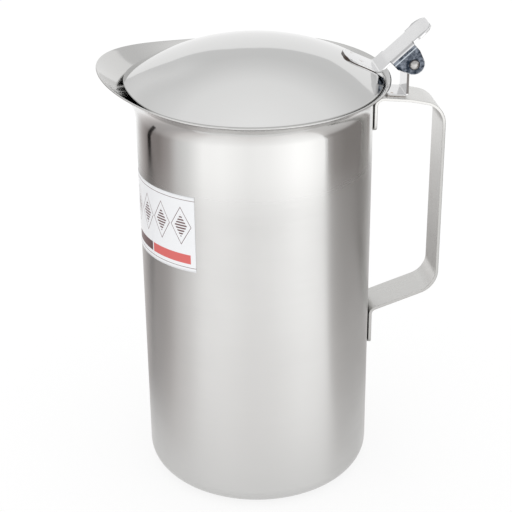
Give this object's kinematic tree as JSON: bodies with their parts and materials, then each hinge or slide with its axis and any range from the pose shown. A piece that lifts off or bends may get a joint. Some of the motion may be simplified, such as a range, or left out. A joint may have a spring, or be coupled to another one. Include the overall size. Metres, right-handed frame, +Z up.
{
  "type": "lidded jug",
  "caption": "Steel serving jug with a flared rim drawn out into a pouring spout, a bent strap handle and a domed lid that swings on a rivet hinge with a thumb lever.",
  "frame": {"origin": "centre of the flat base, on the surface the jug stands on", "axes": "+Z up along the axis of the round body, +X towards the handle and hinge, -X towards the spout, Y along the hinge pin"},
  "size_m": [0.176, 0.1374, 0.2447],
  "materials": {
    "body_steel": "satin polished stainless steel",
    "lid_steel": "mirror polished stainless steel",
    "strap_steel": "stainless steel brushed along the strap",
    "hinge_steel": "polished stainless steel"
  },
  "bodies": {
    "jug": {"jug_body": "body_steel", "handle_strap": "strap_steel", "hinge_bracket": "hinge_steel"},
    "lid": {"lid_shell": "lid_steel", "thumb_lever": "hinge_steel", "hinge_pin": "hinge_steel"}
  },
  "joints": [
    {"name": "lid_hinge", "type": "hinge", "parent": "jug", "child": "lid", "pos_m": [0.08, 0, 0.225], "axis": [0, 1, 0], "range_deg": [0, 134]}
  ]
}
